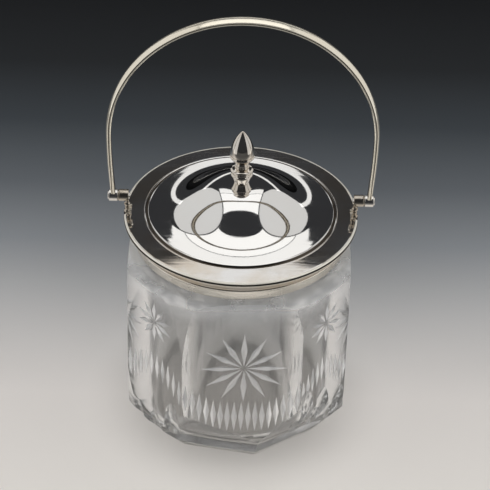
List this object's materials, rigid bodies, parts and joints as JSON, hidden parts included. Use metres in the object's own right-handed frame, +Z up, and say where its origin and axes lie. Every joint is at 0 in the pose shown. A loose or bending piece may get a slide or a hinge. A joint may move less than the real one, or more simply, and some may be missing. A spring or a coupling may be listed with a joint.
{
  "type": "biscuit jar",
  "caption": "Faceted cut-glass biscuit jar with a plated metal collar, a swinging bail handle and a lift-off domed lid with an acorn finial.",
  "frame": {"origin": "centre of the jar's foot, on the surface that it stands on", "axes": "+Z up, +X to the right-hand handle pivot, the front face looks along -Y"},
  "size_m": [0.1368, 0.12, 0.24],
  "materials": {
    "cut_glass": "clear polished cut lead glass",
    "plaster": "set plaster",
    "silver_plate": "polished silver plate with fine wear",
    "nickel_silver": "unpolished nickel silver"
  },
  "bodies": {
    "jar": {"glass_jar": "cut_glass", "plaster_bed": "plaster", "collar_band": "silver_plate", "collar_rim": "silver_plate", "left_handle_post": "silver_plate", "right_handle_post": "silver_plate", "left_pivot_pin": "silver_plate", "right_pivot_pin": "silver_plate", "left_pivot_washer": "nickel_silver", "right_pivot_washer": "nickel_silver"},
    "handle": {"bail_handle": "silver_plate", "left_handle_barrel": "silver_plate", "right_handle_barrel": "silver_plate"},
    "lid": {"lid": "silver_plate", "lid_locating_ring": "silver_plate", "finial_base": "silver_plate", "acorn_finial": "silver_plate", "finial_stud": "nickel_silver", "finial_washer": "nickel_silver", "finial_nut": "nickel_silver"}
  },
  "joints": [
    {"name": "handle_swing", "type": "hinge", "parent": "jar", "child": "handle", "pos_m": [0, 0, 0.1339], "axis": [1, 0, 0], "range_deg": [-138, 138]},
    {"name": "lid_lift", "type": "slide", "parent": "jar", "child": "lid", "axis": [0, 0, 1], "range_m": [0, 0.05]}
  ]
}
